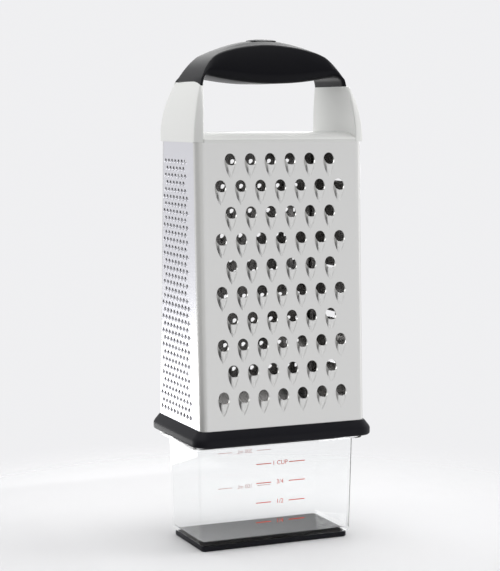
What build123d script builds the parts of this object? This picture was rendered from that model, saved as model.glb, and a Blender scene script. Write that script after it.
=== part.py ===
from build123d import *
import os
from math import acos, asin, atan, atan2, cos, degrees, hypot, pi, sin

# Box grater standing on its clear collecting container.
# Millimetres. The origin is at the bottom centre, on the surface it stands on.
# X runs along the wide faces, the coarse face looks along -Y, +Z is up.

# Overall stack of heights
foot_height = 3.4
wall_foot_to_flange = 62.4
flange_height = 2.6
seat_gap = 0.3
rim_height = 4.9
rim_slope_height = 4.8
steel_visible_height = 175.3
deck_height = 5.8
handle_height = 63.4

# Steel box
steel_width = 112.0
steel_depth_foot = 75.6
steel_depth_top = 61.9
sheet = 0.6
bend_radius = 5.6
seam_flange = 4.0
seam_gap = 0.1

# Black rim round the foot of the box
rim_overhang = 4.55
rim_radius = 9.8
rim_edge_chamfer = 0.8
rim_fit = 0.1
rim_shelf = 1.2

# Rigid ring inside the foot of the box
ring_fit = 0.1
ring_height = 11.0
ring_lip = 1.2
ring_wall = 1.6
funnel_drop = 6.5
neck_gap = 0.4
ring_rib = 1.6
ring_rib_pitch = 17.0
ring_rib_count = 6

# Container
container_side_inset = 2.75
container_front_inset = 11.5
container_width_draft = 1.5
container_depth_draft = 0.5
container_radius = 2.8
container_wall = 1.8
container_floor = 2.6
neck_height = 4.0
flange_side_reach = 4.55
flange_front_reach = 7.65
flange_radius = 6.8
flange_edge_chamfer = 0.6

# Non-slip foot under the container
foot_inset = 1.5

# Handle frame: deck, skirt and legs
leg_proud = 1.1
leg_base = 6.3
leg_rise = 35.7
leg_lean_in = 5.4
crown_radius = 100.0
profile_slope = 0.42
deck_flat = 34.0
deck_edge_height = 1.9
deck_wall = 2.2
skirt_depth = 6.0
skirt_fit = 0.15
skirt_wall = 2.0
edge_chamfer = 2.5
edge_second_chamfer = 0.9
inner_edge_chamfer = 0.6
leg_inner_rise = 28.9
leg_inner_lean_in = 3.6
core_inset = 1.6
core_depth = 15.0
core_fit = 0.1

# Soft grip
joint_outer_drop = 26.2
joint_inner_drop = 28.7
belly_drop = 27.7
belly_radius = 200.0
belly_corner_round = 3.0
pad_width = 16.0
pad_depth = 9.0
pad_round = 3.0
pad_height = 0.9

# Coarse teeth on the front
coarse_pitch = 13.3
coarse_row_pitch = 16.13
coarse_rows = 10
coarse_row_count = 7
coarse_hole = 6.8
coarse_scoop = 12.2
coarse_rise = 2.9
coarse_sides = 8
coarse_facets = 3
coarse_top_margin = 9.8

# Medium teeth on the back
medium_pitch = 6.5
medium_row_pitch = 8.03
medium_rows = 19
medium_row_count = 14
medium_hole = 3.2
medium_scoop = 5.0
medium_rise = 1.3
medium_facets = 2
medium_top_margin = 13.6

# Slicing slots on the right side
slot_count = 5
slot_pitch = 30.0
slot_width = 42.0
slot_height = 4.6
slot_rise = 2.2
slot_ramp = 10.0
slot_top_margin = 26.0

# One overrun serves all cuts
overrun = 2.0

# Heights worked out from the stack
flange_z = foot_height + wall_foot_to_flange
flange_top_z = flange_z + flange_height
rim_z = flange_top_z + seat_gap
rim_side_z = rim_z + rim_height
steel_show_z = rim_side_z + rim_slope_height
steel_top_z = steel_show_z + steel_visible_height
steel_low_z = rim_z + rim_shelf
deck_z = steel_top_z + deck_height
apex_z = steel_top_z + handle_height
ring_top_z = rim_z + ring_height

# Container worked out from the steel box above it
container_width_top = steel_width - 2 * container_side_inset
container_depth_top = steel_depth_foot - 2 * container_front_inset
container_width_foot = container_width_top - 2 * container_width_draft
container_depth_foot = container_depth_top - 2 * container_depth_draft
flange_width = container_width_top + 2 * flange_side_reach
flange_depth = container_depth_top + 2 * flange_front_reach

# Lean of the wide faces
lean = (steel_depth_foot - steel_depth_top) / 2 / steel_visible_height
lean_angle = atan(lean)
lean_stretch = hypot(1, lean)


def half_depth(z):
    """Half of the steel box's outside depth at a height."""
    return steel_depth_foot / 2 - lean * (z - steel_show_z)


def rounded_face(width, depth, radius, z):
    """Horizontal rounded rectangle at a height."""
    return Plane.XY.offset(z) * RectangleRounded(width, depth, radius)


def straight_block(width, depth, radius, low_z, high_z):
    """Upright block with rounded corners between two heights."""
    return extrude(rounded_face(width, depth, radius, low_z), amount=high_z - low_z)


def tapered_block(low, high, radius):
    """Block with flat sloping sides and rounded upright edges, each end (width, depth, z)."""
    low_width, low_depth, low_z = low
    high_width, high_depth, high_z = high

    def slab(plane, low_size, high_size, reach):
        corners = [(-low_size, low_z), (low_size, low_z), (high_size, high_z), (-high_size, high_z)]
        return extrude(plane * make_face(Polyline(*corners, close=True)), amount=reach, both=True)

    block = slab(Plane.XZ, low_width / 2, high_width / 2, low_depth + high_depth)
    block &= slab(Plane.YZ, low_depth / 2, high_depth / 2, low_width + high_width)
    upright = [edge for edge in block.edges() if low_z < edge.center().Z < high_z]
    return fillet(upright, radius=radius)


def steel_size(inset, z):
    """Width and depth of the steel box's outline at a height, moved in by an inset."""
    return steel_width - 2 * inset, 2 * half_depth(z) - 2 * inset, z


def steel_block(inset, low_z, high_z):
    """Leaning outline of the steel box as a solid, moved in by an inset."""
    return tapered_block(steel_size(inset, low_z), steel_size(inset, high_z), bend_radius - inset)


# Steel sheets

panel_height = steel_top_z - steel_low_z
fold_low_z = ring_top_z + sheet
fold_high_z = steel_top_z - skirt_depth - sheet
seam_depth_low = half_depth(steel_low_z) - bend_radius
seam_depth_fold = half_depth(fold_low_z) - bend_radius


def leaning_bar(x_low, x_high, y_low, y_high, low_z, high_z):
    """Bar of constant section that leans back with the front sheet."""
    section = Plane.XY.offset(low_z) * Pos((x_low + x_high) / 2, (y_low + y_high) / 2)
    face = section * Rectangle(x_high - x_low, y_high - y_low)
    return extrude(face, amount=(high_z - low_z) * lean_stretch, dir=(0, lean, 1))


def wide_sheet():
    """Front sheet: flat face, a bend at each corner and a fold inward at each seam."""
    start_z = steel_low_z - overrun
    base = Plane(origin=(0, -half_depth(start_z), start_z), x_dir=(1, 0, 0), z_dir=(0, lean, 1))
    outer = RectangleRounded(steel_width, 4 * bend_radius, bend_radius)
    inner = RectangleRounded(steel_width - 2 * sheet, 4 * bend_radius - 2 * sheet, bend_radius - sheet)
    back = Pos(0, bend_radius) * Rectangle(steel_width + 2 * overrun, 4 * bend_radius)
    section = base * Pos(0, 2 * bend_radius) * (outer - inner - back)
    skin = extrude(section, amount=panel_height + 3 * overrun)
    middle_z = (steel_low_z + steel_top_z) / 2
    skin &= Pos(0, 0, middle_z) * Box(2 * steel_width, 2 * steel_depth_foot, panel_height)
    x_far = steel_width / 2 - sheet / 2
    x_near = steel_width / 2 - sheet - seam_flange
    seam = -seam_depth_fold
    folds = [
        leaning_bar(low, high, seam - sheet, seam, fold_low_z, fold_high_z)
        for low, high in ((x_near, x_far), (-x_far, -x_near))
    ]
    return skin.fuse(*folds)


def narrow_sheet():
    """Left sheet: flat plate with leaning edges and a fold inward along each."""
    half_low = seam_depth_low - seam_gap
    half_high = half_depth(steel_top_z) - bend_radius - seam_gap
    outline = Polyline(
        (-half_low, steel_low_z),
        (half_low, steel_low_z),
        (half_high, steel_top_z),
        (-half_high, steel_top_z),
        close=True,
    )
    plate = Pos(-steel_width / 2, 0, 0) * extrude(Plane.YZ * make_face(outline), amount=sheet)
    x_far = -steel_width / 2 + sheet / 2
    x_near = -steel_width / 2 + sheet + seam_flange
    seam = -seam_depth_fold + seam_gap
    fold = leaning_bar(x_far, x_near, seam, seam + sheet, fold_low_z, fold_high_z)
    return plate.fuse(fold, mirror(fold, about=Plane.XZ))


def front_plane(x, z):
    """Plane on the front sheet: x to the right, y up the sheet, z out of it."""
    outward = (0, -cos(lean_angle), sin(lean_angle))
    return Plane(origin=(x, -half_depth(z), z), x_dir=(1, 0, 0), z_dir=outward)


def left_plane(y, z):
    """Plane on the left sheet: x towards the front, y up, z out of it."""
    return Plane(origin=(-steel_width / 2, y, z), x_dir=(0, -1, 0), z_dir=(-1, 0, 0))


def half_cone(half_width, height, tip, base, facets):
    """Faceted half cone lying on the sheet with its mouth up and its point down."""
    angles = [pi * k / facets for k in range(facets + 1)]
    points = [Vector(half_width * cos(a), 0, base + height * sin(a)) for a in angles]
    point = Vector(0, -tip, base)
    sides = [Wire.make_polygon([a, b, point], close=True) for a, b in zip(points[:-1], points[1:])]
    floor = Wire.make_polygon([points[-1], points[0], point], close=True)
    mouth = Wire.make_polygon(points, close=True)
    return Solid(Shell([Face(wire) for wire in [mouth, floor] + sides]))


def staggered(rows, row_count, pitch, row_pitch, top_margin):
    """Places (x, z) of a staggered field of teeth, from the top row down."""
    places = []
    for row in range(rows):
        count = row_count - 1 + row % 2
        z = steel_top_z - top_margin - row * row_pitch
        places += [((column - (count - 1) / 2) * pitch, z) for column in range(count)]
    return places


def punched(skin, places, bump, cutters):
    """Front sheet with one punched tooth at each place: an opening over a raised scoop."""
    planes = [front_plane(x, z) for x, z in places]
    raised = skin.fuse(*[plane * bump for plane in planes])
    return raised.cut(*[plane * cutter for plane in planes for cutter in cutters])


def make_coarse_panel():
    """Front sheet with coarse shredding teeth: a round opening over a hollow V-shaped scoop."""
    places = staggered(coarse_rows, coarse_row_count, coarse_pitch, coarse_row_pitch, coarse_top_margin)
    embed = sheet / 3
    height = coarse_rise + embed
    tip = coarse_scoop * height / coarse_rise
    bump = half_cone(coarse_hole / 2 + sheet, height, tip, -embed, coarse_facets)
    dent = half_cone(coarse_hole / 2, height, tip - sheet, -embed - sheet, coarse_facets)
    outline = RegularPolygon(coarse_hole / 2, coarse_sides)
    opening = Pos(0, 0, -overrun) * extrude(outline, amount=2 * overrun + coarse_rise)
    return punched(wide_sheet(), places, bump, [opening, dent])


def make_medium_panel():
    """Back sheet with smaller teeth: a pointed opening over a ridged scoop."""
    places = staggered(medium_rows, medium_row_count, medium_pitch, medium_row_pitch, medium_top_margin)
    half = medium_hole / 2
    bump = half_cone(half, medium_rise, medium_scoop, -sheet / 2, medium_facets)
    outline = make_face(Polyline((-half, 0), (half, 0), (0, medium_hole), close=True))
    opening = Pos(0, 0, -overrun) * extrude(outline, amount=2 * overrun)
    return mirror(punched(wide_sheet(), places, bump, [opening]), about=Plane.XZ)


def make_slicer_panel():
    """Right sheet with slicing slots, each over a raised blade edge."""
    low = -sheet / 2
    outside = Polyline((-slot_ramp, low), (0, low), (0, slot_rise), close=True)
    inside = Polyline(
        (-slot_ramp, low - sheet), (sheet, low - sheet), (sheet, slot_rise + low), close=True
    )
    half = slot_width / 2
    ramp = extrude(Plane.YZ.offset(-half) * make_face(outside), amount=slot_width)
    dent = extrude(Plane.YZ.offset(sheet - half) * make_face(inside), amount=slot_width - 2 * sheet)
    centring = (Align.CENTER, Align.MIN, Align.CENTER)
    opening = Box(slot_width - 2 * sheet, slot_height, 2 * overrun, align=centring)
    top_z = steel_top_z - slot_top_margin
    planes = [left_plane(0, top_z - slot * slot_pitch) for slot in range(slot_count)]
    raised = narrow_sheet().fuse(*[plane * ramp for plane in planes])
    tools = [plane * tool for plane in planes for tool in (dent, opening)]
    return mirror(raised.cut(*tools), about=Plane.YZ)


# Foot of the box

def make_base_rim():
    """Black band round the foot of the sheets, with a shelf under their lower edges."""
    width = steel_width + 2 * rim_overhang
    depth = steel_depth_foot + 2 * rim_overhang
    side = straight_block(width, depth, rim_radius, rim_z, rim_side_z)
    side = chamfer(side.faces().sort_by(Axis.Z)[0].edges(), length=rim_edge_chamfer)
    slope_run = rim_overhang - rim_fit - sheet
    slope_face = rounded_face(width, depth, rim_radius, rim_side_z)
    slope = extrude(slope_face, amount=rim_slope_height, taper=degrees(atan2(slope_run, rim_slope_height)))
    sleeve = steel_block(-rim_fit, steel_low_z, steel_show_z + overrun)
    throat = steel_block(sheet, rim_z - overrun, steel_show_z + overrun)
    return (side + slope) - sleeve - throat


def make_base_frame():
    """Ring inside the foot of the sheets with a funnel down to the container's neck."""
    block = steel_block(sheet + ring_fit, rim_z, ring_top_z)
    mouth_width = container_width_top + 2 * neck_gap
    mouth_depth = container_depth_top + 2 * neck_gap
    mouth_radius = container_radius + neck_gap
    mouth = straight_block(mouth_width, mouth_depth, mouth_radius, rim_z - overrun, ring_top_z)
    lip = sheet + ring_fit + ring_lip
    funnel_low = (mouth_width, mouth_depth, ring_top_z - funnel_drop)
    funnel = tapered_block(funnel_low, steel_size(lip, ring_top_z), mouth_radius)
    ring = block - mouth - funnel
    trough_near = mouth_depth / 2 + ring_wall
    trough_far = half_depth(ring_top_z) - sheet - ring_fit - ring_wall
    trough_top = ring_top_z - funnel_drop - ring_wall
    trough_length = mouth_width - 2 * ring_wall
    trough = Pos(0, (trough_near + trough_far) / 2, (rim_z - overrun + trough_top) / 2) * Box(
        trough_length, trough_far - trough_near, trough_top - rim_z + overrun
    )
    for rib in range(ring_rib_count):
        x = (rib - (ring_rib_count - 1) / 2) * ring_rib_pitch
        trough -= Pos(x, (trough_near + trough_far) / 2, trough_top) * Box(
            ring_rib, trough_far - trough_near, 2 * (trough_top - rim_z) + 2 * overrun
        )
    return ring - trough - mirror(trough, about=Plane.XZ)


# Container

def tub_size(inset, z):
    """Width and depth of the container's outline at a height, moved in by an inset."""
    share = (z - foot_height) / wall_foot_to_flange
    width = container_width_foot + share * (container_width_top - container_width_foot)
    depth = container_depth_foot + share * (container_depth_top - container_depth_foot)
    return width - 2 * inset, depth - 2 * inset, z


def make_container():
    """Clear tray with a flange that carries the ring and a neck that centres it."""
    tub = tapered_block(tub_size(0, foot_height), tub_size(0, flange_z), container_radius)
    tub = fillet(tub.faces().sort_by(Axis.Z)[0].edges(), radius=container_radius)
    flange = straight_block(flange_width, flange_depth, flange_radius, flange_z, flange_top_z)
    flange = chamfer(flange.faces().sort_by(Axis.Z)[-1].edges(), length=flange_edge_chamfer)
    mouth = (container_width_top, container_depth_top, container_radius)
    mouth_z = flange_top_z + neck_height
    neck = straight_block(*mouth, flange_z, mouth_z)
    floor_size = tub_size(container_wall, foot_height + container_floor)
    mouth_size = tub_size(container_wall, mouth_z + overrun)
    hollow = tapered_block(floor_size, mouth_size, container_radius - container_wall)
    return (tub + flange + neck) - hollow


def make_container_foot():
    """Flat non-slip pad under the container."""
    width = container_width_foot - 2 * foot_inset
    depth = container_depth_foot - 2 * foot_inset
    return straight_block(width, depth, container_radius, 0, foot_height)


# Handle: outline in the XZ plane, with the arch's arcs worked out from its heights

leg_half = steel_width / 2 + leg_proud
leg_top_half = leg_half - leg_lean_in
leg_top_z = steel_top_z + leg_rise
leg_radius = (leg_rise ** 2 + leg_lean_in ** 2) / (2 * leg_lean_in)
leg_inner_half = leg_half - leg_base
leg_inner_radius = (leg_inner_rise ** 2 + leg_inner_lean_in ** 2) / (2 * leg_inner_lean_in)
leg_run_share = (leg_radius - leg_lean_in) / leg_radius
leg_rise_share = leg_rise / leg_radius
crown_center_z = apex_z - crown_radius
crown_reach = hypot(leg_top_half, leg_top_z - crown_center_z)
crown_along = leg_top_half * leg_run_share + (leg_top_z - crown_center_z) * leg_rise_share
shoulder_radius = (crown_radius ** 2 - crown_reach ** 2) / (crown_radius - crown_along) / 2
shoulder_x = leg_top_half - shoulder_radius * leg_run_share
shoulder_z = leg_top_z - shoulder_radius * leg_rise_share
belly_z = apex_z - belly_drop
joint_outer_z = apex_z - joint_outer_drop
joint_inner_z = apex_z - joint_inner_drop
base_half_depth = steel_depth_top / 2
profile_angle = atan(profile_slope)
profile_radius = leg_rise / sin(profile_angle)


def arch_face(inset):
    """Outer outline of the handle from one foot over the crown to the other, moved in."""
    leg_angle = degrees(asin(leg_rise_share))
    crown_angle = degrees(atan2(shoulder_z - crown_center_z, shoulder_x))
    leg = CenterArc((leg_half - leg_radius, steel_top_z), leg_radius - inset, 0, leg_angle)
    shoulder = CenterArc(
        (shoulder_x, shoulder_z), shoulder_radius - inset, leg_angle, crown_angle - leg_angle
    )
    crown = CenterArc((0, crown_center_z), crown_radius - inset, crown_angle, 180 - 2 * crown_angle)
    right = [leg, shoulder]
    left = [mirror(edge, about=Plane.YZ) for edge in right]
    foot = Line((leg_half - inset, steel_top_z), (inset - leg_half, steel_top_z))
    return Plane.XZ * make_face(right + [crown] + left + [foot])


def finger_face(grow):
    """Opening between the legs and under the belly of the grip, made larger all round."""
    bow = leg_inner_radius + grow
    centre = leg_inner_half - leg_inner_radius
    lens = (Pos(centre, deck_z) * Circle(bow)) & (Pos(-centre, deck_z) * Circle(bow))
    above = Rectangle(2 * leg_half, 2 * handle_height, align=(Align.CENTER, Align.MIN))
    room = lens & Pos(0, deck_z) * above
    room -= Pos(0, belly_z + belly_radius) * Circle(belly_radius - grow)
    corners = room.vertices().filter_by_position(Axis.Y, belly_z, apex_z)
    return Plane.XZ * fillet(corners, radius=belly_corner_round)


def side_profile():
    """Outline of the handle seen from the side, filled down to the steel's top."""
    top_half = base_half_depth - profile_radius * (1 - cos(profile_angle))
    head_z = apex_z + overrun
    head_half = top_half - profile_slope * (head_z - leg_top_z)
    centre = (base_half_depth - profile_radius, steel_top_z)
    edge = CenterArc(centre, profile_radius, 0, degrees(profile_angle))
    slant = Line((top_half, leg_top_z), (head_half, head_z))
    right = [edge, slant]
    left = [mirror(line, about=Plane.YZ) for line in right]
    head = Line((head_half, head_z), (-head_half, head_z))
    foot = Line((base_half_depth, steel_top_z), (-base_half_depth, steel_top_z))
    return Plane.YZ * make_face(right + left + [head, foot])


def above_joint(lift):
    """Everything above the slanting joints between the legs and the grip."""
    inner_half = leg_inner_half - leg_inner_lean_in
    outer_half = leg_top_half
    slant = (joint_outer_z - joint_inner_z) / (outer_half - inner_half)
    far_half = leg_half + overrun
    far_z = joint_inner_z + slant * (far_half - inner_half)
    outline = Polyline(
        (-far_half, far_z + lift),
        (-inner_half, joint_inner_z + lift),
        (inner_half, joint_inner_z + lift),
        (far_half, far_z + lift),
        (far_half, apex_z + handle_height),
        (-far_half, apex_z + handle_height),
        close=True,
    )
    return extrude(Plane.XZ * make_face(outline), amount=steel_depth_foot, both=True)


def arch_band(inset, half):
    """Flat-sided band that follows the arch inside its skin."""
    return extrude(arch_face(inset) - finger_face(inset), amount=half, both=True)


def arch_block():
    """The whole arch, legs and grip together, with its edges rounded inside and out."""
    block = extrude(arch_face(0), amount=steel_depth_foot, both=True)
    block &= extrude(side_profile(), amount=steel_width, both=True)
    corners = [edge for edge in block.edges() if edge.geom_type != GeomType.LINE]
    block = chamfer(corners, length=edge_chamfer)
    corners = [edge for edge in block.edges() if edge.geom_type != GeomType.LINE]
    block = chamfer(corners, length=edge_second_chamfer)
    opening = finger_face(0)
    block -= extrude(opening, amount=steel_depth_foot, both=True)
    upwards = (Align.CENTER, Align.CENTER, Align.MIN)
    room = Box(2 * leg_inner_half, steel_depth_foot, deck_height + overrun, align=upwards)
    block -= Pos(0, 0, steel_top_z - overrun) * room
    rim = opening.faces()[0].outer_wire()
    inner = []
    for edge in block.edges():
        mid = edge.position_at(0.5)
        on_rim = rim.distance_to(Vertex(mid.X, 0, mid.Z)) < core_fit
        if on_rim and abs(mid.Y) > core_depth and edge.geom_type != GeomType.LINE:
            inner.append(edge)
    return chamfer(inner, length=inner_edge_chamfer)


deck_fall = deck_height - deck_edge_height
deck_run = base_half_depth - deck_flat / 2
deck_round = (deck_run ** 2 + deck_fall ** 2) / (2 * deck_fall)


def deck_face(inset, half, low_z):
    """Side view of the deck: flat in the middle, falling in an arc to the front and back."""
    radius = deck_round - inset
    centre_z = deck_z - deck_round
    start = degrees(acos((half - deck_flat / 2) / radius))
    shoulder = CenterArc((deck_flat / 2, centre_z), radius, start, degrees(pi / 2) - start)
    side = Line(shoulder @ 0, (half, low_z))
    right = [shoulder, side]
    left = [mirror(line, about=Plane.YZ) for line in right]
    top = Line((deck_flat / 2, centre_z + radius), (-deck_flat / 2, centre_z + radius))
    foot = Line((half, low_z), (-half, low_z))
    return Plane.YZ * make_face(right + left + [top, foot])


def make_handle_frame(block):
    """Deck on top of the sheets, skirt inside them, two legs and the core of the arch."""
    legs = block - above_joint(0)
    core = arch_band(core_inset, core_depth / 2) & above_joint(-overrun)
    deck_reach = leg_inner_half + inner_edge_chamfer
    deck = extrude(deck_face(0, base_half_depth, steel_top_z), amount=deck_reach, both=True)
    skirt_inset = sheet + skirt_fit
    skirt_low = steel_top_z - skirt_depth
    skirt = steel_block(skirt_inset, skirt_low, steel_top_z + deck_edge_height / 2)
    throat_inset = skirt_inset + skirt_wall
    skirt -= steel_block(throat_inset, skirt_low - overrun, steel_top_z + deck_edge_height)
    room_half = half_depth(steel_top_z) - throat_inset
    room = extrude(deck_face(deck_wall, room_half, skirt_low), amount=leg_inner_half, both=True)
    return (legs + deck + core) - room + skirt


def make_soft_grip(block):
    """Soft grip moulded over the core, with a plain raised pad on the crown."""
    channel = arch_band(core_inset - core_fit, core_depth / 2 + core_fit)
    pad_face = Plane.XY.offset(apex_z - core_inset / 2) * RectangleRounded(pad_width, pad_depth, pad_round)
    pad = extrude(pad_face, amount=handle_height)
    pad &= extrude(arch_face(-pad_height), amount=pad_depth, both=True)
    return (block & above_joint(core_fit)) - channel + pad


# Write every piece

handle_block = arch_block()
pieces = {
    "container": make_container(),
    "container_foot": make_container_foot(),
    "base_frame": make_base_frame(),
    "base_rim": make_base_rim(),
    "coarse_panel": make_coarse_panel(),
    "medium_panel": make_medium_panel(),
    "fine_panel": narrow_sheet(),
    "slicer_panel": make_slicer_panel(),
    "handle_frame": make_handle_frame(handle_block),
    "soft_grip": make_soft_grip(handle_block),
}
os.makedirs("parts", exist_ok=True)
for name, piece in pieces.items():
    export_step(piece, "parts/" + name + ".step")
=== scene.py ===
"""Looks of the box grater: punched sheets, handle, grip, rim and the clear container under it."""

from math import acos, atan2, cos, hypot, pi, radians, sin, sqrt

import bmesh
import bpy
from mathutils import Matrix, Vector


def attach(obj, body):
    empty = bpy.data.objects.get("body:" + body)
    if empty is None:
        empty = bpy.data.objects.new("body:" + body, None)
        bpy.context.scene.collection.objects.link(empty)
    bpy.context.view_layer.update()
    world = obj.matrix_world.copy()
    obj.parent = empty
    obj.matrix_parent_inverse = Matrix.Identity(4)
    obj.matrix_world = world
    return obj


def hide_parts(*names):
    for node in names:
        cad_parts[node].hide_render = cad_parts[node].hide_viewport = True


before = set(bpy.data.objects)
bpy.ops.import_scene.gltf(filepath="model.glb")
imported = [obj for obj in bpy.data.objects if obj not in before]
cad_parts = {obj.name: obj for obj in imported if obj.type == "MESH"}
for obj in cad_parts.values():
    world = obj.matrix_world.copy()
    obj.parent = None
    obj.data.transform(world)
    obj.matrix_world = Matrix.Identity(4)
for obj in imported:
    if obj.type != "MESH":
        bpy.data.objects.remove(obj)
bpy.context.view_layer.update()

# Sizes in millimetres, as in the part; a finished piece is scaled to metres

foot_height = 3.4
flange_z = 65.8
flange_top_z = 68.4
neck_top_z = 72.4
rim_z = 68.7
rim_side_z = 73.6
steel_low_z = 69.9
steel_show_z = 78.4
steel_top_z = 253.7
deck_z = 259.5
apex_z = 317.1
steel_half = 56.0
sheet = 0.6
bend = 5.6
seam_gap = 0.1
fold = 4.0
fold_low_z = 80.3
fold_high_z = 247.1
lean = (37.8 - 30.95) / (steel_top_z - steel_show_z)
stretch = hypot(1, lean)


def half_depth(z):
    """Half of the steel box's depth at a height."""
    return 37.8 - lean * (z - steel_show_z)


# Modelling helpers

def settle():
    """Nothing is left selected and no piece is being edited."""
    if bpy.context.mode != "OBJECT":
        bpy.ops.object.mode_set(mode="OBJECT")
    bpy.ops.object.select_all(action="DESELECT")


def open_up(piece, kind="VERT"):
    """The piece is put in edit mode with nothing selected."""
    settle()
    piece.select_set(True)
    bpy.context.view_layer.objects.active = piece
    bpy.ops.object.mode_set(mode="EDIT")
    bpy.ops.mesh.select_mode(type=kind)
    bpy.ops.mesh.select_all(action="DESELECT")


def pick_edges(piece, wanted):
    """Selects the open edges whose two ends both pass a test."""
    bpy.ops.mesh.select_all(action="DESELECT")
    mesh = bmesh.from_edit_mesh(piece.data)
    for edge in mesh.edges:
        if edge.is_boundary and all(wanted(vertex.co) for vertex in edge.verts):
            edge.select = True
    bmesh.update_edit_mesh(piece.data)


def pick_ring(piece, ring):
    """Selects a loop of points by their numbers."""
    bpy.ops.mesh.select_all(action="DESELECT")
    mesh = bmesh.from_edit_mesh(piece.data)
    mesh.verts.ensure_lookup_table()
    for index in ring:
        mesh.verts[index].select = True
    mesh.select_flush(True)
    bmesh.update_edit_mesh(piece.data)


def loft(name, rings, caps=(), round_trip=False, crease=None):
    """A loop of edges drawn through rings of points; a cap closes the first or last ring."""
    settle()
    bpy.ops.mesh.primitive_circle_add(vertices=len(rings[0]), radius=1.0)
    piece = bpy.context.object
    piece.name = piece.data.name = name
    open_up(piece)
    mesh = bmesh.from_edit_mesh(piece.data)
    mesh.verts.ensure_lookup_table()
    ring = [vertex.index for vertex in mesh.verts]
    for index, place in zip(ring, rings[0]):
        mesh.verts[index].co = place
    bmesh.update_edit_mesh(piece.data)
    first = ring
    for number, places in enumerate(rings[1:] + ([rings[0]] if round_trip else []), 1):
        pick_ring(piece, ring)
        bpy.ops.mesh.extrude_edges_move()
        mesh = bmesh.from_edit_mesh(piece.data)
        mesh.verts.ensure_lookup_table()
        grown = []
        for index, place in zip(ring, places):
            old = mesh.verts[index]
            new = next(e.other_vert(old) for e in old.link_edges if e.other_vert(old).select)
            new.co = place
            grown.append(new)
        mesh.verts.index_update()
        if number == crease:
            inner = set(grown)
            for edge in mesh.edges:
                if edge.verts[0] in inner and edge.verts[1] in inner:
                    edge.smooth = False
        bmesh.update_edit_mesh(piece.data)
        ring = [vertex.index for vertex in grown]
    if "first" in caps:
        pick_ring(piece, first)
        bpy.ops.mesh.edge_face_add()
    if "last" in caps:
        pick_ring(piece, ring)
        bpy.ops.mesh.edge_face_add()
    bpy.ops.mesh.select_all(action="SELECT")
    bpy.ops.mesh.remove_doubles(threshold=0.0005)
    if round_trip or len(caps) == 2:
        bpy.ops.mesh.select_all(action="SELECT")
        bpy.ops.mesh.normals_make_consistent(inside=False)
    settle()
    return piece


def join(name, pieces):
    """Several pieces made one."""
    settle()
    for piece in pieces:
        piece.select_set(True)
    bpy.context.view_layer.objects.active = pieces[0]
    bpy.ops.object.join()
    whole = bpy.context.object
    bpy.ops.object.transform_apply(location=True, rotation=True, scale=True)
    whole.name = whole.data.name = name
    return whole


def modify(piece, kind, **settings):
    """A modifier, set and applied."""
    settle()
    piece.select_set(True)
    bpy.context.view_layer.objects.active = piece
    bpy.ops.object.modifier_add(type=kind)
    modifier = piece.modifiers[-1]
    for key, value in settings.items():
        setattr(modifier, key, value)
    bpy.ops.object.modifier_apply(modifier=modifier.name)


def finish(piece, material, body, node=None, place=None, angle=32):
    """Scales a piece to metres in its place, smooths it, ties it to its body, and hides the CAD node it
    stands in for.
    """
    scale = Matrix.Diagonal((0.001, 0.001, 0.001, 1))
    piece.data.transform(scale @ (place if place is not None else Matrix.Identity(4)))
    piece.data.update()
    settle()
    piece.select_set(True)
    bpy.context.view_layer.objects.active = piece
    bpy.ops.object.shade_smooth_by_angle(angle=radians(angle), keep_sharp_edges=True)
    settle()
    if material:
        piece.data.materials.clear()
        piece.data.materials.append(material)
    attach(piece, body)
    if node:
        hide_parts(node)


# Finishes

def surface(name, colour, roughness, grain=(300, 300, 300), bump=0.0, spread=0.0, **sockets):
    """One finish: plain sockets, with a fine grain that moves its roughness and its bump."""
    coat = bpy.data.materials.new(name)
    coat.use_nodes = True
    nodes, links = coat.node_tree.nodes, coat.node_tree.links
    shader = nodes["Principled BSDF"]
    shader.inputs["Base Color"].default_value = (*colour, 1)
    shader.inputs["Roughness"].default_value = roughness
    for key, value in sockets.items():
        shader.inputs[key.replace("_", " ")].default_value = value
    where = nodes.new("ShaderNodeTexCoord")
    scale = nodes.new("ShaderNodeMapping")
    scale.inputs["Scale"].default_value = grain
    noise = nodes.new("ShaderNodeTexNoise")
    noise.inputs["Scale"].default_value = 1.0
    noise.inputs["Detail"].default_value = 3.0
    links.new(where.outputs["Object"], scale.inputs["Vector"])
    links.new(scale.outputs["Vector"], noise.inputs["Vector"])
    if spread:
        spread_node = nodes.new("ShaderNodeMapRange")
        spread_node.inputs["To Min"].default_value = roughness - spread
        spread_node.inputs["To Max"].default_value = roughness + spread
        links.new(noise.outputs["Fac"], spread_node.inputs["Value"])
        links.new(spread_node.outputs["Result"], shader.inputs["Roughness"])
    if bump:
        relief = nodes.new("ShaderNodeBump")
        relief.inputs["Strength"].default_value = bump
        relief.inputs["Distance"].default_value = 0.0002
        links.new(noise.outputs["Fac"], relief.inputs["Height"])
        links.new(relief.outputs["Normal"], shader.inputs["Normal"])
    return coat


brush = (2600, 2600, 60)
satin_steel = surface("satin_steel", (0.72, 0.72, 0.705), 0.30, brush, 0.05, 0.05, Metallic=1.0)
fine_steel = surface("fine_steel", (0.71, 0.71, 0.745), 0.34, brush, 0.05, 0.05, Metallic=1.0)
# inner side of every sheet: the same steel painted darker, painted shade standing in for the dark inside of
# the box seen through the holes
inner_steel_painted_shade = surface("inner_steel_painted_shade", (0.36, 0.35, 0.34), 0.24, brush, 0.05, 0.05, Metallic=1.0)
white_plastic = surface(
    "white_plastic", (0.78, 0.785, 0.77), 0.42, (900, 900, 900), 0.04, 0.04, Specular_IOR_Level=0.15
)
soft_black = surface(
    "soft_black", (0.005, 0.005, 0.007), 0.42, (1400, 1400, 1400), 0.10, 0.05, Specular_IOR_Level=0.12,
)
rim_black = surface(
    "rim_black", (0.007, 0.007, 0.010), 0.46, (1400, 1400, 1400), 0.10, 0.05, Specular_IOR_Level=0.14
)
hard_black = surface("hard_black", (0.02, 0.02, 0.022), 0.42, (900, 900, 900), 0.06, 0.05)
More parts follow.
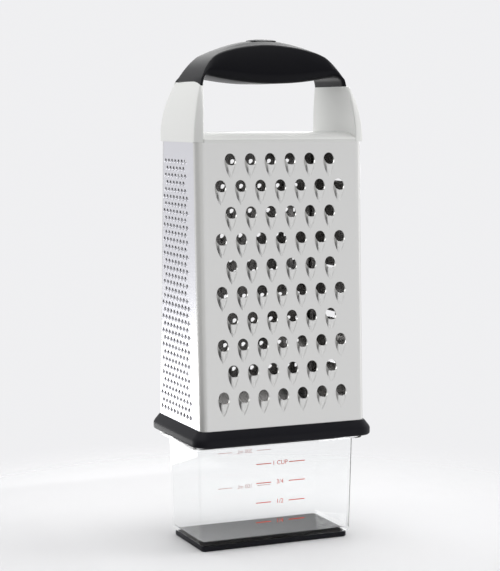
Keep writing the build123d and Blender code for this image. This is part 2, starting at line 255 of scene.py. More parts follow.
# the red print of the back wall painted lighter: painted light standing in for how washed out the marks look
# behind both clear walls
back_ink_painted_lighter = surface("back_ink_painted_lighter", (0.86, 0.50, 0.47), 0.55, (2500, 2500, 2500), 0.05, 0.08)
red_ink = surface("red_ink", (0.74, 0.09, 0.05), 0.55, (2500, 2500, 2500), 0.05, 0.08)
clear_plastic = surface(
    "clear_plastic", (0.985, 0.99, 0.99), 0.02, (40, 40, 40), 0.0, 0.01,
    Transmission_Weight=1.0, IOR=1.06, Coat_Weight=0.7, Coat_Roughness=0.02,
)


# Punched sheets

def tile_ring(half, up, down, across, along):
    """Outline of a tile from its top middle to the left and round."""
    points = [(-half * 2 * k / across, up) for k in range(across // 2)]
    points += [(-half, up - (up + down) * k / along) for k in range(along)]
    points += [(-half + 2 * half * k / across, -down) for k in range(across)]
    points += [(half, -down + (up + down) * k / along) for k in range(along)]
    points += [(half - half * 2 * k / across, up) for k in range(across // 2)]
    return [Vector((x, y, 0)) for x, y in points]


def tooth(name, hole, scoop, rise, tile, steps, bow=2.2, square=0.8):
    """One punched tooth on its tile: a hole with its lower lip raised over a pointed scoop."""
    rim = tile_ring(*tile)
    count = len(rim)
    half_wide, half_high = hole
    lip, foot = [], []
    for k in range(count):
        angle = pi / 2 + 2 * pi * k / count
        low = max(0.0, -sin(angle))
        x, y = half_wide * cos(angle), half_high * sin(angle)
        if low > 0.001:
            x = half_wide * abs(cos(angle)) ** square * (1 if cos(angle) > 0 else -1)
            y = -half_high * low ** square
        lip.append(Vector((x, y, rise * low ** 0.6)))
        if angle <= pi + 0.01 or angle >= 2 * pi - 0.01:
            grow = 1.04
            foot.append(Vector((grow * half_wide * cos(angle), grow * half_high * max(0, sin(angle)), 0)))
            continue
        turn = (angle - pi) / (pi / 2)
        t = turn if turn <= 1 else 2 - turn
        wide = 1.07 * half_wide * (1 - t ** bow)
        foot.append(Vector((wide if turn > 1 else -wide, -scoop * t, 0)))
    rings = [lip]
    for step in range(1, steps):
        s = step / steps
        ring = []
        for a, b in zip(lip, foot):
            low = (max(a.z, 0) / rise) ** (1 / 0.6) if rise else 0
            power = 1.15 + 1.1 * (1 - low)
            point = a.lerp(b, s)
            point.z = a.z * (1 - s ** power)
            ring.append(point)
        rings.append(ring)
    rings += [foot, rim]
    return loft(name, rings, crease=steps)


def blank(name, half, up, down, across, along):
    """Plain tile that matches the edges of half a toothed one."""
    settle()
    bpy.ops.mesh.primitive_grid_add(x_subdivisions=across // 2, y_subdivisions=along, size=1.0)
    piece = bpy.context.object
    piece.name = name
    for vertex in piece.data.vertices:
        x, y, z = vertex.co
        vertex.co = ((x + 0.5) * half, (y + 0.5) * (up + down) - down, 0)
    return piece


def field(name, tooth_tile, tile, cells, rows, row_pitch, first_y, counts, slip=0.0):
    """Teeth and plain tiles laid side by side, every copy with its own mesh, then merged."""
    half, up, down, across, along = tile
    plain = blank(name + "_blank", half, up, down, across, along)
    twins = []

    def lay(source, x, y):
        twin = source.copy()
        twin.data = source.data.copy()
        twin.location = (x, y, 0)
        bpy.context.collection.objects.link(twin)
        twins.append(twin)

    for row in range(rows):
        y = first_y - row * row_pitch
        filled = set()
        for column in range(counts[row]):
            centre = 2 * column - (counts[row] - 1)
            lay(tooth_tile, centre * half + slip, y)
            filled |= {centre - 1, centre}
        for cell in range(-cells, cells):
            if cell not in filled:
                lay(plain, cell * half + slip, y)
    for source in (tooth_tile, plain):
        bpy.data.objects.remove(source)
    whole = join(name, twins)
    open_up(whole)
    bpy.ops.mesh.select_all(action="SELECT")
    bpy.ops.mesh.remove_doubles(threshold=0.01)
    settle()
    return whole


def reach(piece, axis, side, to):
    """Draws the field's edge on one side out to a given place."""
    edge_at = max(side * v.co[axis] for v in piece.data.vertices)
    open_up(piece, "EDGE")
    pick_edges(piece, lambda co: side * co[axis] > edge_at - 0.01)
    shift = [0, 0, 0]
    shift[axis] = to - side * edge_at
    bpy.ops.mesh.extrude_region_move(TRANSFORM_OT_translate={"value": shift})
    settle()


def slice_at(piece, point, normal, clear=False):
    """Cuts the sheet along a plane, and drops what lies beyond it if asked."""
    open_up(piece)
    bpy.ops.mesh.select_all(action="SELECT")
    bpy.ops.mesh.bisect(plane_co=point, plane_no=normal, clear_outer=clear, threshold=0.001)
    settle()


def up_sheet(z):
    """Distance up a leaning sheet from its lower edge."""
    return (z - steel_low_z) * stretch


def wide_sheet(whole):
    """Front or back sheet: margins, the bend at both corners, the folds at the seams, thickness."""
    flat = steel_half - bend
    for side in (1, -1):
        reach(whole, 0, side, side * flat)
    reach(whole, 1, 1, up_sheet(steel_top_z))
    reach(whole, 1, -1, 0.0)
    for z in (fold_low_z, fold_high_z):
        slice_at(whole, (0, up_sheet(z), 0), (0, 1, 0))
    for side in (1, -1):
        open_up(whole, "EDGE")
        pick_edges(whole, lambda co: side * co.x > flat - 0.01)
        turn = 10
        for step in range(turn):
            a, b = (pi / 2 * s / turn for s in (step, step + 1))
            shift = (side * bend * (sin(b) - sin(a)), 0, bend * (cos(b) - cos(a)))
            bpy.ops.mesh.extrude_region_move(TRANSFORM_OT_translate={"value": shift})
        low, high = up_sheet(fold_low_z), up_sheet(fold_high_z)
        pick_edges(whole, lambda co: side * co.x > steel_half - 0.01 and low - 0.01 < co.y < high + 0.01)
        bpy.ops.mesh.extrude_region_move(TRANSFORM_OT_translate={"value": (-side * (sheet + fold), 0, 0)})
        settle()
    thicken(whole, satin_steel)
    return whole


def narrow_sheet(whole):
    """Side sheet: cut to its leaning edges, folded in along them, then given its thickness."""
    for side in (1, -1):
        reach(whole, 0, side, side * 36.0)
    reach(whole, 1, 1, steel_top_z + 1)
    reach(whole, 1, -1, steel_low_z - 1)
    slice_at(whole, (0, steel_top_z, 0), (0, 1, 0), clear=True)
    slice_at(whole, (0, steel_low_z, 0), (0, -1, 0), clear=True)
    for z in (fold_low_z, fold_high_z):
        slice_at(whole, (0, z, 0), (0, 1, 0))
    for side in (1, -1):
        edge = half_depth(steel_low_z) - bend - seam_gap
        slice_at(whole, (side * edge, steel_low_z, 0), (side, lean, 0), clear=True)
        open_up(whole, "EDGE")

        def on_seam(co):
            near = half_depth(co.y) - bend - seam_gap - side * co.x < 0.02
            return near and fold_low_z - 0.01 < co.y < fold_high_z + 0.01

        pick_edges(whole, on_seam)
        bpy.ops.mesh.extrude_region_move(TRANSFORM_OT_translate={"value": (0, 0, -sheet - fold)})
        settle()
    thicken(whole, fine_steel)
    return whole


def thicken(whole, coat):
    """Faces turned outward, then the sheet's thickness given inward."""
    open_up(whole)
    bpy.ops.mesh.select_all(action="SELECT")
    bpy.ops.mesh.normals_make_consistent(inside=False)
    settle()
    if sum(face.normal.z * face.area for face in whole.data.polygons) < 0:
        open_up(whole)
        bpy.ops.mesh.select_all(action="SELECT")
        bpy.ops.mesh.flip_normals()
        settle()
    whole.data.materials.clear()
    # the second finish, on the sheet's inner side, is the steel with painted shade
    for side in (coat, inner_steel_painted_shade):
        whole.data.materials.append(side)
    modify(whole, "SOLIDIFY", thickness=sheet, offset=-1.0, use_even_offset=False, material_offset=1)


def counts_for(rows, wide, start):
    """Teeth in each row, one fewer in every second row."""
    return [wide - 1 + (row + start) % 2 for row in range(rows)]


front_place = Matrix((
    (1, 0, 0, 0),
    (0, lean / stretch, -1 / stretch, -half_depth(steel_low_z)),
    (0, 1 / stretch, lean / stretch, steel_low_z),
    (0, 0, 0, 1),
))
back_place = Matrix.Rotation(pi, 4, "Z") @ front_place
left_place = Matrix(((0, 0, -1, -steel_half), (-1, 0, 0, 0), (0, 1, 0, 0), (0, 0, 0, 1)))
right_place = Matrix.Rotation(pi, 4, "Z") @ left_place

coarse_tile = (6.65, 4.12, 12.01, 8, 8)
coarse_tooth = tooth("coarse_tooth", (3.45, 3.6), 11.7, 2.15, coarse_tile, 4)
coarse = field(
    "coarse_sheet", coarse_tooth, coarse_tile, 7, 10, 16.13, up_sheet(243.45), counts_for(10, 7, 0), -1.1
)
finish(wide_sheet(coarse), None, "grater", "coarse_panel", front_place)

medium_tile = (3.25, 1.95, 6.08, 4, 2)
medium_tooth = tooth("medium_tooth", (1.6, 1.6), 5.0, 1.1, medium_tile, 2)
medium = field(
    "medium_sheet", medium_tooth, medium_tile, 14, 19, 8.03, up_sheet(240.1), counts_for(19, 14, 0)
)
finish(wide_sheet(medium), None, "grater", "medium_panel", back_place)

fine_tile = (2.76, 1.56, 2.93, 2, 2)
fine_tooth = tooth("fine_tooth", (1.5, 1.05), 2.2, 0.9, fine_tile, 2)
fine_rows, fine_pitch, fine_top_z = 36, fine_tile[1] + fine_tile[2], 242.0
fine_counts = []
for row in range(fine_rows):
    # the sheet widens downwards, and a row of even or odd count follows the other
    count = int(8 + 0.42 * (half_depth(fine_top_z - fine_pitch * row) - 32.25))
    fine_counts.append(count - (count + row + 1) % 2)
fine = field(
    "fine_sheet", fine_tooth, fine_tile, 11, fine_rows, fine_pitch, fine_top_z, fine_counts, -4.8
)
finish(narrow_sheet(fine), None, "grater", "fine_panel", left_place)


def slicing_tile():
    """One slicing slot: an opening over a wide blade raised on a smooth ramp."""
    half, up, down = 24.0, 12.0, 18.0
    rim = tile_ring(half, up, down, 12, 6)
    slot, foot = [], []
    for point in rim:
        x, y = point.x / half, (2 * point.y + down - up) / (up + down)
        wide = 20.8 if abs(x) > 0.99 and abs(y) > 0.99 else 21.0
        lift = 2.1 * max(0.0, -y) ** 0.7 * (1 - abs(x) ** 10)
        slot.append(Vector((wide * x, 2.3 + 2.3 * y, lift)))
        ramp = 21.7 * x * (1 - 0.10 * max(0.0, -y) ** 4)
        foot.append(Vector((ramp, 4.9 if y > 0.99 else -2.6 + 7.5 * y, 0)))
    rings = [slot]
    for s in (0.35, 0.7):
        ring = []
        for a, b in zip(slot, foot):
            point = a.lerp(b, s)
            point.z = a.z * (1 - s ** 1.25)
            ring.append(point)
        rings.append(ring)
    return loft("slicing_slot", rings + [foot, rim], crease=3)


slots = []
slot_source = slicing_tile()
for row in range(5):
    twin = slot_source.copy()
    twin.data = slot_source.data.copy()
    twin.location = (0, steel_top_z - 26.0 - 30.0 * row, 0)
    bpy.context.collection.objects.link(twin)
    slots.append(twin)
bpy.data.objects.remove(slot_source)
slicing = join("slicing_sheet", slots)
open_up(slicing)
bpy.ops.mesh.select_all(action="SELECT")
bpy.ops.mesh.remove_doubles(threshold=0.01)
settle()
finish(narrow_sheet(slicing), None, "grater", "slicer_panel", right_place)


# Handle and grip: one arch drawn from section to section

leg_half = 57.0
inner_half = 50.8
inner_radius = 117.8
belly_z = 289.4
belly_radius = 200.0
base_half_depth = 30.95
shoulder_z = 289.4
outer_joint_z, inner_joint_z = 290.5, 287.9
joint_drop = 2.4
crown_low_z, swell_low_z = 300.0, 306.0
crown_swell = 2.6
# half depth at the foot, radius of the arc up to the shoulder, slant above it
inner_depth = (base_half_depth, 92.2, 0.42)
outer_depth = (29.9, 83.9, 0.47)


def arch_half_depth(z, base, radius, slope):
    """Half of the handle's depth at a height: an arc up to the shoulder, then a straight slant."""
    rise = min(z, shoulder_z) - steel_top_z
    return base - radius + sqrt(radius ** 2 - max(0, rise) ** 2) - slope * max(0, z - shoulder_z)


def along(parts, distance):
    """Point at a distance along a path of lines and arcs, each (length, rule)."""
    for length, rule in parts:
        if distance <= length or (length, rule) == parts[-1]:
            return rule(min(distance / length, 1.0))
        distance -= length


def arc(centre, radius, start, end):
    """Arc as a part of a path."""
    cx, cz = centre

    def rule(s):
        a = start + (end - start) * s
        return Vector((cx + radius * cos(a), cz + radius * sin(a)))

    return abs(end - start) * radius, rule


def line(a, b):
    """Straight run as a part of a path."""
    a, b = Vector(a), Vector(b)
    return (b - a).length, lambda s: a.lerp(b, s)


def outer_arcs():
    """Arcs of the outside: up the leg, in over the shoulder, then the crown to the middle."""
    x, z, turn = leg_half, steel_top_z, 0.0
    parts = []
    for radius, to in ((95.0, 14.5), (70.0, 33.0), (33.0, 68.0), (None, 90.0)):
        radius = radius or x / cos(turn)
        centre = (x - radius * cos(turn), z - radius * sin(turn))
        parts.append(arc(centre, radius, turn, radians(to)))
        turn = radians(to)
        x, z = centre[0] + radius * cos(turn), centre[1] + radius * sin(turn)
    return parts


outer_path = outer_arcs()
corner_round = 4.2
leg_centre = Vector((inner_half - inner_radius, deck_z))
belly_centre = Vector((0, belly_z + belly_radius))
# the fillet's centre lies inside the leg's circle and outside the belly's by its radius
reach_leg, reach_belly = inner_radius - corner_round, belly_radius + corner_round
gap = (belly_centre - leg_centre).length
inward = (reach_leg ** 2 - reach_belly ** 2 + gap ** 2) / (2 * gap)
side_off = sqrt(reach_leg ** 2 - inward ** 2)
axis = (belly_centre - leg_centre) / gap
corner = leg_centre + axis * inward + Vector((axis.y, -axis.x)) * side_off
leg_end = atan2(corner.y - leg_centre.y, corner.x - leg_centre.x)
belly_start = atan2(corner.y - belly_centre.y, corner.x - belly_centre.x)
inner_path = [
    line((inner_half, steel_top_z), (inner_half, deck_z)),
    arc(leg_centre, inner_radius, 0, leg_end),
    arc(corner, corner_round, leg_end, belly_start + pi),
    arc(belly_centre, belly_radius, belly_start, -pi / 2),
]


def distance_at(parts, z):
    """Distance along a path at which it first reaches a height."""
    total, step = 0.0, 0.05
    while along(parts, total).y < z:
        total += step
    return total


outer_end = sum(part[0] for part in outer_path)
inner_end = sum(part[0] for part in inner_path)
inner_corner = inner_path[0][0] + inner_path[1][0]
outer_joint, inner_joint = distance_at(outer_path, outer_joint_z), distance_at(inner_path, inner_joint_z)
outer_corner = outer_path[0][0] + outer_path[1][0] + 33.0 * radians(7)
stops = [
    (0.0, 0.0, 0),
    (outer_joint, inner_joint, 12),
    (outer_corner - 6.0, inner_corner, 4),
    (outer_corner + 8.0, inner_corner + inner_path[2][0], 9),
    (outer_end, inner_end, 12),
]
stations = [(0.0, 0.0)]
joint_station = 12
for (o0, i0, _), (o1, i1, steps) in zip(stops, stops[1:]):
    for step in range(1, steps + 1):
        s = step / steps
        stations.append((o0 + (o1 - o0) * s, i0 + (i1 - i0) * s))


def rounded(corners, radii, steps=5):
    """Closed outline with each corner rounded, as a list of points."""
    points = []
    count = len(corners)
    for k in range(count):
        here = Vector(corners[k])
        before = (Vector(corners[k - 1]) - here).normalized()
        after = (Vector(corners[(k + 1) % count]) - here).normalized()
        half_angle = acos(max(-1, min(1, before.dot(after)))) / 2
        tangent = radii[k] / (sin(half_angle) / cos(half_angle))
        centre = here + (before + after).normalized() * (radii[k] / sin(half_angle))
        start, end = here + before * tangent - centre, here + after * tangent - centre
        turn = start.angle_signed(end) if start.length > 1e-9 else 0
        for step in range(steps + 1):
            a = -turn * step / steps
            x, y = start
            points.append(centre + Vector((x * cos(a) - y * sin(a), x * sin(a) + y * cos(a))))
    return points


def arch_section(station):
    """Ring of the arch at a station: edges soften towards the crown, and the crown swells."""
    outer = along(outer_path, station[0])
    inner = along(inner_path, station[1])
    thick = (outer - inner).length
    rise = min(1.0, station[0] / outer_corner)
    crown_share = min(1.0, max(0.0, (outer.y - crown_low_z) / 12))
    outer_round = 1.3 + 1.3 * crown_share
    inner_round = 0.9 + 2.2 * max(0.0, rise - 0.4) / 0.6 + 1.4 * crown_share
    foot_share = max(0.0, 1 - (outer.y - steel_top_z) / 18)
    low = arch_half_depth(inner.y, *inner_depth)
    high = arch_half_depth(outer.y, *outer_depth) - 0.8 * foot_share + 2.2 * crown_share
    swell = crown_swell * min(1.0, max(0.0, (outer.y - swell_low_z) / 10))
    edge = thick - swell
    corners = [(0, -low), (edge, -high), (edge, high), (0, low)]
    radii = [inner_round, outer_round, outer_round, inner_round]
    at_joint = station == stations[joint_station]
    outline = rounded(corners, radii)
    # two corners of six points each come before the outside face, which gets seven more
    across = [(outline[11] + (outline[12] - outline[11]) * k / 8) for k in range(1, 8)]
    outline[12:12] = [Vector((a + swell * (1 - (y / high) ** 2), y)) for a, y in across]
    ring = []
    for a, y in outline:
        point = inner.lerp(outer, a / thick)
        # the joint's line dips at the front corner of the leg
        drop = joint_drop * max(0.0, (-y - 8) / 13) ** 2 * (a / thick) if at_joint else 0
        ring.append(Vector((point.x, y, point.y - drop)))
    return ring


def mirrored(ring):
    """The same ring on the left side."""
    return [Vector((-p.x, p.y, p.z)) for p in ring]


right_half = [arch_section(station) for station in stations[joint_station:]]
grip_rings = right_half + [mirrored(ring) for ring in right_half[-2::-1]]
grip = loft("grip_arch", grip_rings, caps=("first", "last"))
legs = []
for side in ("right", "left"):
    rings = [arch_section(station) for station in stations[:joint_station + 1]]
    if side == "left":
        rings = [mirrored(ring) for ring in rings]
    legs.append(loft(side + "_leg", rings, caps=("first", "last")))


def rectangle_ring(half_x, half_y, radius, z, steps=6):
    """Rounded rectangle at a height."""
    corners = [(half_x, -half_y), (half_x, half_y), (-half_x, half_y), (-half_x, -half_y)]
    return [Vector((x, y, z)) for x, y in rounded(corners, [radius] * 4, steps)]


def plate_ring(inset, lift):
    """Outline of the grip's plain plate, laid on the crown and raised a little."""
    ring = rectangle_ring(8.6 - inset, 5.6 - inset, max(2.4 - inset, 0.3), apex_z, 5)
    drop = [p.x ** 2 / 150 + crown_swell * (p.y / 11.5) ** 2 for p in ring]
    return [Vector((p.x, p.y, p.z + lift - d)) for p, d in zip(ring, drop)]


pad = loft("grip_plate", [
    plate_ring(0, -1.2), plate_ring(0, -0.05), plate_ring(0.5, 0.04), plate_ring(1.3, 0.10),
    plate_ring(2.6, 0.14), plate_ring(5.0, 0.15),
], caps=("first", "last"))
finish(join("soft_grip_arch", [grip, pad]), soft_black, "grater", "soft_grip")

deck_round, deck_centre_z, deck_flat = 26.9, 232.6, 17.0


def deck_side(inset, half, steps=10):
    """Right half of the deck's side outline, from the middle to the edge."""
    radius = deck_round - inset
    start = acos((half - deck_flat) / radius)
    return [
        (deck_flat + radius * cos(a), deck_centre_z + radius * sin(a))
        for a in (pi / 2 + (start - pi / 2) * k / steps for k in range(steps + 1))
    ]


top_side = deck_side(0, base_half_depth - 0.35)
low_side = deck_side(2.2, 28.2)
half_outline = top_side + [
    (base_half_depth, top_side[-1][1] - 0.45), (base_half_depth, steel_top_z), (28.2, steel_top_z),
] + low_side[::-1]
outline = half_outline + [(-y, z) for y, z in half_outline[::-1]]
deck_half = 50.95
deck_ends = [[Vector((x, y, z)) for y, z in outline] for x in (-deck_half, deck_half)]
deck = loft("deck", deck_ends, caps=("first", "last"))


def skirt_ring(inset, z):
    """Outline inside the steel box at a height."""
    return rectangle_ring(steel_half - inset, half_depth(z) - inset, max(bend - inset, 1.0), z, 4)


skirt = loft("skirt", [
    skirt_ring(0.75, 254.6), skirt_ring(0.75, 248.2), skirt_ring(1.1, 247.7),
    skirt_ring(2.75, 247.7), skirt_ring(2.75, 254.6),
], round_trip=True)
finish(join("white_handle", legs + [deck, skirt]), white_plastic, "grater", "handle_frame")


# Rim round the foot of the box

def rim_ring(inset, z):
    """Outline of the rim at a height, moved in from its widest."""
    return rectangle_ring(60.55 - inset, 42.35 - inset, max(9.8 - inset, 4.8), z, 8)


def box_ring(inset, z):
    """Outline of the steel box at a height, moved in."""
    return rectangle_ring(steel_half - inset, half_depth(z) - inset, bend - inset, z, 8)


rim = loft("foot_rim", [
    box_ring(sheet, rim_z),
    rim_ring(1.5, rim_z), rim_ring(0.75, rim_z + 0.2), rim_ring(0.2, rim_z + 0.75),
    rim_ring(0, rim_z + 1.5), rim_ring(0, rim_side_z - 1.0), rim_ring(0.12, rim_side_z - 0.4),
    rim_ring(0.45, rim_side_z + 0.35), rim_ring(0.95, rim_side_z + 1.1),
    rim_ring(3.55, steel_show_z - 0.45), rim_ring(3.95, steel_show_z - 0.05),
    rim_ring(4.2, steel_show_z), box_ring(-0.1, steel_show_z - 0.1),
    box_ring(-0.1, steel_low_z), box_ring(sheet, steel_low_z),
], round_trip=True)
finish(rim, rim_black, "grater", "base_rim", angle=50)


# Container, its foot pad and the measuring marks

def tub_half(z):
    """Half width and half depth of the container's wall at a height."""
    share = (z - foot_height) / (flange_z - foot_height)
    return 51.75 + 1.5 * share, 25.8 + 0.5 * share


def tub_ring(inset, z, radius):
    """Outline of the container at a height."""
    x, y = tub_half(z)
    return rectangle_ring(x - inset, y - inset, radius, z, 8)


def flange_ring(inset, z):
    """Outline of the flange."""
    return rectangle_ring(57.8 - inset, 33.95 - inset, 6.8 - inset, z, 8)


wall, outer_corner_round, inner_corner_round = 1.8, 2.8, 1.0
outer_rings, inner_rings = [], []
for k in range(6):
    a = pi / 2 * k / 5
    inset, up = outer_corner_round * (1 - sin(a)), outer_corner_round * (1 - cos(a))
    outer_rings.append(tub_ring(inset, foot_height + up, max(outer_corner_round - inset, 0.25)))
    inset, up = 1.5 * (1 - sin(a)), 1.5 * (1 - cos(a))
    inner_rings.append(tub_ring(wall + inset, 6.0 + up, max(inner_corner_round - inset / 2, 0.25)))
container = loft("clear_container", outer_rings + [
    tub_ring(0, flange_z, outer_corner_round),
    flange_ring(0.5, flange_z), flange_ring(0.1, flange_z + 0.15),
    flange_ring(0, flange_z + 0.5), flange_ring(0, flange_top_z - 0.6),
    flange_ring(0.18, flange_top_z - 0.18), flange_ring(0.6, flange_top_z),
    rectangle_ring(53.25, 26.3, 2.8, flange_top_z, 8), rectangle_ring(53.25, 26.3, 2.8, neck_top_z - 0.4, 8),
    rectangle_ring(52.85, 25.9, 2.4, neck_top_z, 8), tub_ring(wall + 0.35, neck_top_z, 1.4),
    tub_ring(wall, neck_top_z - 0.4, inner_corner_round),
    tub_ring(wall, flange_z, inner_corner_round),
] + inner_rings[::-1], caps=("first", "last"))
finish(container, clear_plastic, "container", "container", angle=40)

pad_ring = [(1.3, 0.0), (0.4, 0.15), (0.0, 0.6), (0.0, 3.0), (0.3, 3.4)]
foot_rings = [rectangle_ring(44.0, 18.0, 2.0, 0.9, 6), rectangle_ring(45.0, 19.0, 2.5, 0.0, 6)]
foot_rings += [rectangle_ring(50.25 - inset, 24.3 - inset, 2.8 - 0.5 * inset, z, 6) for inset, z in pad_ring]
foot = loft("foot_pad", foot_rings, caps=("first", "last"))
finish(foot, rim_black, "container", "container_foot", angle=40)


def print_on_wall(name, text, x, z, size, back=False):
    """Lettering on the container's wall, a hair proud of it."""
    settle()
    bpy.ops.object.text_add()
    sign = bpy.context.object
    sign.data.body = text
    sign.data.align_x, sign.data.align_y = "CENTER", "CENTER"
    sign.data.size = size
    sign.data.extrude = 0.03
    sign.name = name
    bpy.ops.object.convert(target="MESH")
    y = tub_half(z)[1] - 0.01
    upright = Matrix.Translation((x, -y, z)) @ Matrix.Rotation(pi / 2, 4, "X")
    sign.data.transform(Matrix.Rotation(pi if back else 0, 4, "Z") @ upright)
    return sign


def dash(name, low, high, z, thick=0.55, back=False):
    """One printed line beside the lettering."""
    settle()
    y = tub_half(z)[1] + 0.01
    bpy.ops.mesh.primitive_cube_add(size=1)
    mark = bpy.context.object
    mark.name = name
    for vertex in mark.data.vertices:
        x, dy, dz = vertex.co
        vertex.co = ((low + high) / 2 + x * (high - low), -y + 0.06 * dy, z + dz * thick)
    modify(mark, "BEVEL", width=0.35 * thick, segments=2, limit_method="ANGLE")
    if back:
        mark.data.transform(Matrix.Rotation(pi, 4, "Z"))
    return mark


marks = []
for text, z in (("1 CUP", 52.9), ("3/4", 40.8), ("1/2", 28.2), ("1/4", 15.7)):
    marks.append(print_on_wall("mark_text", text, 1.7, z, 3.9))
    marks.append(dash("mark_dash", -14.6, -4.4, z))
    marks.append(dash("mark_dash", 7.8, 18.9, z))
finish(join("measuring_marks", marks), red_ink, "container")
marks = []
# the back wall's marks are the same red print, drawn here with the ink painted lighter
for text, z in (("200 mL", 50.0), ("100 mL", 26.5)):
    marks.append(print_on_wall("mark_text", text, 0.0, z, 3.6, back=True))
    marks.append(dash("mark_dash", -18.9, -9.0, z, 0.4, back=True))
    marks.append(dash("mark_dash", 9.0, 18.9, z, 0.4, back=True))
finish(join("back_marks", marks), back_ink_painted_lighter, "container")


# Finish of the ring inside the foot, which keeps its own shape

base_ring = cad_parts["base_frame"]
base_ring.data.materials.clear()
base_ring.data.materials.append(hard_black)


# Floor, light and camera

def floor_finish():
    """Pale floor that fades into the white beyond it and keeps the shadow."""
    coat = bpy.data.materials.new("pale_floor")
    coat.use_nodes = True
    nodes, links = coat.node_tree.nodes, coat.node_tree.links
    shader = nodes["Principled BSDF"]
    shader.inputs["Base Color"].default_value = (0.88, 0.88, 0.89, 1)
    shader.inputs["Roughness"].default_value = 0.8
    shader.inputs["Specular IOR Level"].default_value = 0.1
    where = nodes.new("ShaderNodeTexCoord")
    distance = nodes.new("ShaderNodeVectorMath")
    distance.operation = "LENGTH"
    fade = nodes.new("ShaderNodeMapRange")
    fade.interpolation_type = "SMOOTHSTEP"
    fade.inputs["From Min"].default_value = 0.10
    fade.inputs["From Max"].default_value = 0.34
    clear = nodes.new("ShaderNodeBsdfTransparent")
    mix = nodes.new("ShaderNodeMixShader")
    links.new(where.outputs["Object"], distance.inputs[0])
    links.new(distance.outputs["Value"], fade.inputs["Value"])
    links.new(fade.outputs["Result"], mix.inputs["Fac"])
    links.new(shader.outputs["BSDF"], mix.inputs[1])
    links.new(clear.outputs["BSDF"], mix.inputs[2])
    links.new(mix.outputs["Shader"], nodes["Material Output"].inputs["Surface"])
    return coat


settle()
bpy.ops.mesh.primitive_circle_add(vertices=96, radius=1.5, fill_type="NGON")
floor = bpy.context.object
floor.name = "floor"
floor.data.materials.append(floor_finish())

scene = bpy.context.scene
world = scene.world or bpy.data.worlds.new("studio")
scene.world = world
world.use_nodes = True
nodes, links = world.node_tree.nodes, world.node_tree.links
nodes.clear()
lit = nodes.new("ShaderNodeBackground")
lit.inputs["Color"].default_value = (1.0, 1.0, 1.0, 1)
lit.inputs["Strength"].default_value = 0.54
seen = nodes.new("ShaderNodeBackground")
seen.inputs["Color"].default_value = (0.868, 0.868, 0.882, 1)
seen.inputs["Strength"].default_value = 1.0
path = nodes.new("ShaderNodeLightPath")
either = nodes.new("ShaderNodeMath")
either.operation = "MAXIMUM"
also = nodes.new("ShaderNodeMath")
also.operation = "MAXIMUM"
mix = nodes.new("ShaderNodeMixShader")
out = nodes.new("ShaderNodeOutputWorld")
links.new(path.outputs["Is Camera Ray"], either.inputs[0])
links.new(path.outputs["Is Glossy Ray"], either.inputs[1])
links.new(either.outputs["Value"], also.inputs[0])
links.new(path.outputs["Is Transmission Ray"], also.inputs[1])
links.new(also.outputs["Value"], mix.inputs["Fac"])
links.new(lit.outputs["Background"], mix.inputs[1])
links.new(seen.outputs["Background"], mix.inputs[2])
links.new(mix.outputs["Shader"], out.inputs["Surface"])


def softbox(name, azimuth, height, far, size, power):
    """Square soft light that looks at the middle of the object."""
    settle()
    spot = Vector((sin(radians(azimuth)) * far, -cos(radians(azimuth)) * far, height))
    bpy.ops.object.light_add(type="AREA", location=spot)
    lamp = bpy.context.object
    lamp.name = name
    lamp.data.size = size
    lamp.data.energy = power
    lamp.visible_glossy = False
    lamp.rotation_mode = "QUATERNION"
    lamp.rotation_quaternion = (Vector((0, 0, 0.17)) - spot).to_track_quat("-Z", "Y")


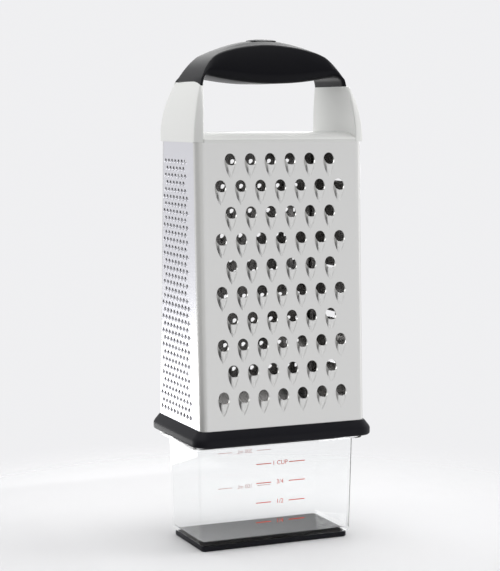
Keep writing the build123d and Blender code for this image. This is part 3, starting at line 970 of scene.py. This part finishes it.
def card(name, azimuth, rise, far, size, level):
    """Studio card that only reflections see: a dark flag or a bright panel."""
    settle()
    turn, lift = radians(azimuth), radians(rise)
    aim = Vector((sin(turn) * cos(lift), -cos(turn) * cos(lift), sin(lift)))
    bpy.ops.mesh.primitive_plane_add(size=1)
    panel = bpy.context.object
    panel.name = name
    across = Vector((cos(turn), sin(turn), 0))
    frame_of = Matrix((across, aim.cross(across), aim)).transposed().to_4x4()
    move = Matrix.Translation(Vector((0, 0, 0.17)) + aim * far)
    panel.data.transform(move @ frame_of @ Matrix.Diagonal((*size, 1, 1)))
    coat = bpy.data.materials.new(name)
    coat.use_nodes = True
    shader = coat.node_tree.nodes["Principled BSDF"]
    shader.inputs["Base Color"].default_value = (0, 0, 0, 1)
    shader.inputs["Specular IOR Level"].default_value = 0.0
    shader.inputs["Emission Color"].default_value = (1, 1, 1, 1)
    shader.inputs["Emission Strength"].default_value = level
    panel.data.materials.append(coat)
    panel.visible_camera = panel.visible_diffuse = panel.visible_shadow = panel.visible_transmission = False


def floor_card(name, centre, size, level):
    """Dark card lying on the floor that only reflections see."""
    card(name, 0, -90, 0.17, size, level)
    panel = bpy.context.object
    panel.data.transform(Matrix.Translation((centre[0], centre[1], 0.001)))


softbox("left_softbox", -100, 0.7, 1.3, 0.9, 3.0)
softbox("back_softbox", -145, 0.5, 1.4, 0.9, 8.0)
softbox("right_softbox", 78, 0.45, 1.3, 0.9, 12.0)
softbox("top_softbox", 20, 1.5, 0.3, 0.9, 4.0)
card("left_flag", -84, 4, 0.9, (1.5, 0.7), 0.54)
card("left_step", -40, 4, 0.95, (0.8, 0.7), 0.68)
card("front_flag", 15, 46, 0.9, (1.3, 0.75), 0.08)
card("top_panel", -60, 82, 1.0, (1.1, 1.1), 2.6)
card("back_panel", 166, 40, 0.9, (0.5, 0.8), 3.0)
card("crown_panel", 136, 48, 0.9, (0.6, 0.6), 5.0)
card("leg_edge_panel", 148, 9, 0.9, (0.3, 0.26), 8.0)
card("right_panel", 92, 4, 0.9, (0.4, 0.6), 1.25)
floor_card("left_floor_card", (-0.30, -0.10), (0.36, 0.40), 0.03)
floor_card("back_floor_card", (-0.24, 0.50), (0.6, 0.6), 3.4)

camera_turn, camera_rise, camera_far = radians(-23.56), radians(5.98), 1.0393
aimed_at = Vector((-0.0075, 0, 0.1626))
back = Vector((
    sin(camera_turn) * cos(camera_rise), -cos(camera_turn) * cos(camera_rise), sin(camera_rise)
))
bpy.ops.object.camera_add(location=aimed_at + back * camera_far)
camera = bpy.context.object
camera.rotation_mode = "QUATERNION"
camera.rotation_quaternion = (-back).to_track_quat("-Z", "Y")
camera.data.sensor_width = 36.0
camera.data.lens = 103.33
scene.camera = camera
scene.view_settings.view_transform = "Standard"
settle()
